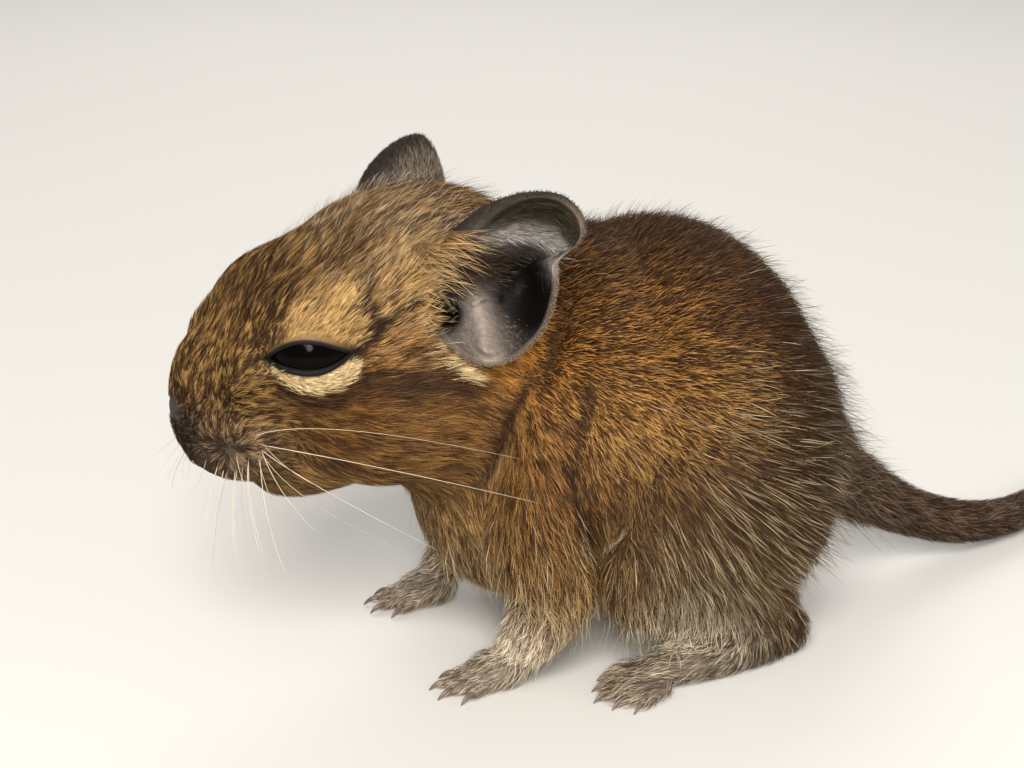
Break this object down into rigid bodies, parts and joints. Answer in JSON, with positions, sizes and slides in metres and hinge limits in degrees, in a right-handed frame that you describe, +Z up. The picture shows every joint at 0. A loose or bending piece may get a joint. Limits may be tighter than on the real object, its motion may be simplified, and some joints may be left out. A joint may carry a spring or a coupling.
{
  "type": "young degu",
  "caption": "Life-size still model of a young degu crouched on all fours: big rounded head held level, cupped round ears, arched furry back, tail laid on the floor behind it.",
  "frame": {"origin": "on the floor under the middle of the animal's bounding box", "axes": "+Z up; the animal faces -X and lies along X, its left side faces -Y"},
  "size_m": [0.0842, 0.0301, 0.0371],
  "materials": {
    "coat": "soft fur, chestnut brown ticked with tan and dark hairs, greyer on the flank and belly",
    "tail": "short close hair over fine rings of scaly skin",
    "foot": "bare greyish skin below, short pale grey hair above",
    "ear": "thin dark grey skin with a sparse fine pale down",
    "eye": "wet glossy black",
    "claw": "small horn claws, satin"
  },
  "bodies": {
    "root": {"head": "coat", "neck": "coat", "trunk": "coat", "foreleg_left": "coat", "foreleg_right": "coat", "hindleg_left": "coat", "hindleg_right": "coat", "forefoot_left": "foot", "forefoot_right": "foot", "hindfoot_left": "foot", "hindfoot_right": "foot", "tail_base": "tail", "tail_mid": "tail", "tail_tip": "tail", "ear_left": "ear", "ear_right": "ear", "eye_left": "eye", "eye_right": "eye"}
  },
  "joints": []
}
